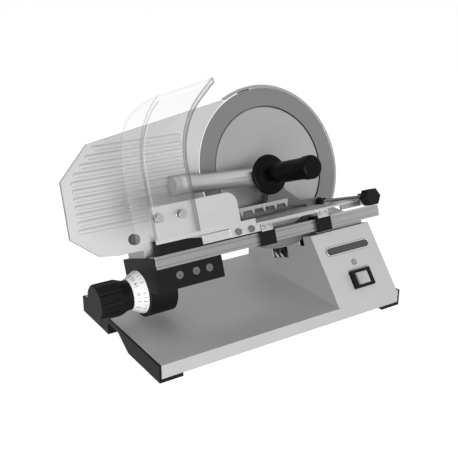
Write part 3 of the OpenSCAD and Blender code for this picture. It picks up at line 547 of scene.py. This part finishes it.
# Finger disc and grip: black plastic, turned smooth and pushed on a pin that stands out from the bar.
# The disc keeps the hand off the blade, and the grip ends in a wider rounded cap.
smooth_black = finish(
    "smooth_black_plastic", (0.003, 0.003, 0.003), metal=0, rough=0.36,
    grain=(900, 900, 900), tooth=0.00002, tone=0.2, worn=0.1, fold=0.0006, gloss=0.06,
)
pin_x = -0.0265
pin_w = -0.008
pin_bore = 0.0051
turns = 72


def turned(name, profile):
    points = []
    for out, reach in profile:
        for step in range(turns):
            angle = 2 * math.pi * step / turns
            points.append((pin_x + reach * math.cos(angle), pin_w + reach * math.sin(angle), out))
    faces = ring_faces(len(profile), turns)
    return new_piece(name, points, faces, smooth_black, "pusher", blade_place)


def eased(stops, parts):
    line = []
    for (x0, r0), (x1, r1) in zip(stops, stops[1:]):
        for part in range(parts):
            share = part / parts
            ease = share * share * (3 - 2 * share)
            line.append((x0 + (x1 - x0) * share, r0 + (r1 - r0) * ease))
    return line + [stops[-1]]


def rounded_rim(out, reach, radius, start, end, parts):
    line = []
    for part in range(parts + 1):
        angle = math.radians(start + (end - start) * part / parts)
        line.append((out + radius * math.sin(angle), reach + radius * math.cos(angle)))
    return line


grip_foot = 0.03812
grip_stops = [(grip_foot, 0.009), (0.0441, 0.009), (0.0574, 0.0132), (0.0779, 0.0135), (0.1129, 0.0135)]
grip_line = eased(grip_stops, parts=8)
grip_line += [(0.1132, 0.0132), (0.1137, 0.0132), (0.1140, 0.0135)]
grip_line += rounded_rim(out=0.1160, reach=0.0128, radius=0.002, start=-50, end=0, parts=5)
grip_line += rounded_rim(out=0.1251, reach=0.0108, radius=0.004, start=0, end=90, parts=10)
grip_line += [(0.12911, 0.006), (0.12912, 0.0001)]
hand_grip = turned("hand_grip", [(grip_foot, pin_bore)] + grip_line)
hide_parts("grip")
disc_back = 0.0311
disc_front = 0.0381
disc_line = [(disc_back, pin_bore), (disc_back, 0.0237)]
disc_edge = rounded_rim(out=0.0339, reach=0.0237, radius=0.0028, start=-90, end=90, parts=14)
disc_line += disc_edge[1:-3]
disc_line += [(0.0363, 0.0232), (0.0367, 0.0205), (0.0371, 0.0165), (0.0379, 0.0142)]
disc_line += [(disc_front, 0.0132), (disc_front, pin_bore)]
hand_disc = turned("hand_disc", disc_line)
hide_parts("finger_disc")


# Shield plate: a stainless plate with a round corner, screwed to the table's folded edge.
# It carries the clear guard on two spacers.
dress(stainless, "shield_plate")
dress(dull_screw, "shield_screws")


# Hand guard: one sheet of clear acrylic, 5 mm thick, sawn, bent hot along one crease and flared at its top.
# Along its hand side runs a narrow dark strip of painted shade, and along the crease a strip of painted shade
# with a strip of painted highlight beside it.
# Two bright screws hold it on spacers, and a rubber stud sits behind its folded side.
def acrylic(name, tone, hold, rough):
    material = bpy.data.materials.new(name)
    material.use_nodes = True
    tree = material.node_tree
    face = tree.nodes["Principled BSDF"]
    face.inputs["Alpha"].default_value = hold
    place = tree.nodes.new("ShaderNodeTexCoord")
    haze = tree.nodes.new("ShaderNodeTexNoise")
    haze.inputs["Scale"].default_value = 40
    tree.links.new(place.outputs["Object"], haze.inputs["Vector"])
    cloud = tree.nodes.new("ShaderNodeMix")
    cloud.data_type = "RGBA"
    cloud.inputs["A"].default_value = (tone * 0.95, tone * 0.95, tone * 0.95, 1)
    cloud.inputs["B"].default_value = (tone * 1.05, tone * 1.05, tone * 1.05, 1)
    tree.links.new(haze.outputs["Fac"], cloud.inputs["Factor"])
    tree.links.new(cloud.outputs["Result"], face.inputs["Base Color"])
    matt = tree.nodes.new("ShaderNodeMapRange")
    matt.inputs["To Min"].default_value = rough * 0.5
    matt.inputs["To Max"].default_value = rough * 1.5
    tree.links.new(haze.outputs["Fac"], matt.inputs["Value"])
    tree.links.new(matt.outputs[0], face.inputs["Roughness"])
    return material


clear_sheet = acrylic("clear_acrylic", tone=0.62, hold=0.08, rough=0.05)
sawn_edge = acrylic("sawn_acrylic_edge", tone=0.62, hold=0.16, rough=0.4)
# The hand-side strip: a dark, less clear tone, painted on as the shade of the thick edge.
painted_edge_shade = acrylic("painted_edge_shade_acrylic", tone=0.1, hold=0.58, rough=0.35)
# The crease strips: painted shade, and beside it a painted highlight; the painted shade also goes on the rim
# of the hand-side strip.
bend_shade = acrylic("bend_shade", tone=0.12, hold=0.32, rough=0.3)
painted_bend_highlight = acrylic("painted_bend_highlight", tone=0.9, hold=0.3, rough=0.2)
stud_rubber = finish(
    "stud_rubber", (0.07, 0.07, 0.07), metal=0, rough=0.7,
    grain=(800, 800, 800), tooth=0.0001, tone=0.2, worn=0.1, fold=0.0005, gloss=0.2,
)

guard_right = -0.1935
guard_crease = -0.2465
guard_left = -0.269
guard_depth = 0.12202
guard_foot = -0.054
guard_wall = 0.005
straight = 0.073
first_radius = 0.06
first_bend = math.radians(44)
second_radius = 0.105
second_bend = math.radians(26)
lip_length = 0.036
lip_lean = math.radians(70)
first_arc = first_bend * first_radius
second_arc = second_bend * second_radius
bend_start = guard_foot + straight


def guard_profile(reach):
    if reach < straight:
        return 0, guard_foot + reach
    if reach < straight + first_arc:
        bend = (reach - straight) / first_radius
        return first_radius * (1 - math.cos(bend)), bend_start + first_radius * math.sin(bend)
    out = first_radius * (1 - math.cos(first_bend))
    up = bend_start + first_radius * math.sin(first_bend)
    bend = first_bend + min(reach - straight - first_arc, second_arc) / second_radius
    out += second_radius * (math.cos(first_bend) - math.cos(bend))
    up += second_radius * (math.sin(bend) - math.sin(first_bend))
    rest = max(0, reach - straight - first_arc - second_arc)
    return out + rest * math.sin(lip_lean), up + rest * math.cos(lip_lean)


guard_length = straight + first_arc + second_arc + lip_length
guard_top = guard_profile(guard_length)[1]
top_slope = 0.16
top_spare = 0.0001
corner_radius = 0.022
corner_drop = 0.03056
fold_turn = math.tan(math.radians(10))
fold_softness = 0.000004


def guard_height(x):
    top = guard_top + top_spare + top_slope * (x - guard_right)
    corner = guard_left + corner_radius
    if x < corner:
        drop = corner_radius ** 2 - (corner - x) ** 2
        top = min(top, guard_top - corner_drop + math.sqrt(max(0, drop)))
    return top


clear_part = 0
sawn_part = 1
edge_shade_part = 2
shade_part = 3
highlight_part = 4
fold_steps = 22
main_steps = 30
shade_start = guard_crease - 0.0014
highlight_start = guard_crease + 0.0008
main_start = guard_crease + 0.0018
main_width = guard_right - 0.006 - guard_crease
edge_shade_width = 0.0024
columns = []
for step in range(fold_steps):
    columns.append((guard_left + (shade_start - guard_left) * step / fold_steps, clear_part))
# The crease columns: a strip of painted shade, then a strip of painted highlight.
columns += [(shade_start, shade_part), (guard_crease, shade_part), (highlight_start, highlight_part)]
for step in range(main_steps):
    columns.append((main_start + main_width * step / main_steps, clear_part))
# Last columns: the narrow strip of painted shade along the hand side.
for share in (1, 0.5, 0):
    columns.append((guard_right - edge_shade_width * share, edge_shade_part))
rows = 70
sheet_points = []
for x, part in columns:
    low = 0
    high = guard_length
    for halving in range(30):
        middle = (low + high) / 2
        if guard_profile(middle)[1] < guard_height(x):
            low = middle
        else:
            high = middle
    back = guard_crease - x
    turned_back = fold_turn * (back + math.sqrt(back * back + fold_softness)) / 2
    for row in range(rows + 1):
        out, up = guard_profile(low * row / rows)
        sheet_points.append((x, up, guard_depth + out - turned_back))
sheet_faces = []
sheet_parts = []
for column in range(len(columns) - 1):
    for row in range(rows):
        corner = column * (rows + 1) + row
        sheet_faces.append((corner, corner + rows + 1, corner + rows + 2, corner + 1))
        sheet_parts.append(columns[column][1])
clear_guard = new_piece("clear_guard", sheet_points, sheet_faces, clear_sheet, "carriage", blade_place)
for material in (sawn_edge, painted_edge_shade, bend_shade, painted_bend_highlight):
    clear_guard.data.materials.append(material)
clear_guard.data.polygons.foreach_set("material_index", sheet_parts)
thickness = clear_guard.modifiers.new("thickness", "SOLIDIFY")
thickness.thickness = guard_wall
thickness.offset = 1
# Rims take the next material, so the rim of the hand-side strip gets the painted crease shade.
thickness.material_offset_rim = sawn_part
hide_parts("guard")
dress(turned_steel, "guard_screws")
dress(stud_rubber, "guard_bumper")
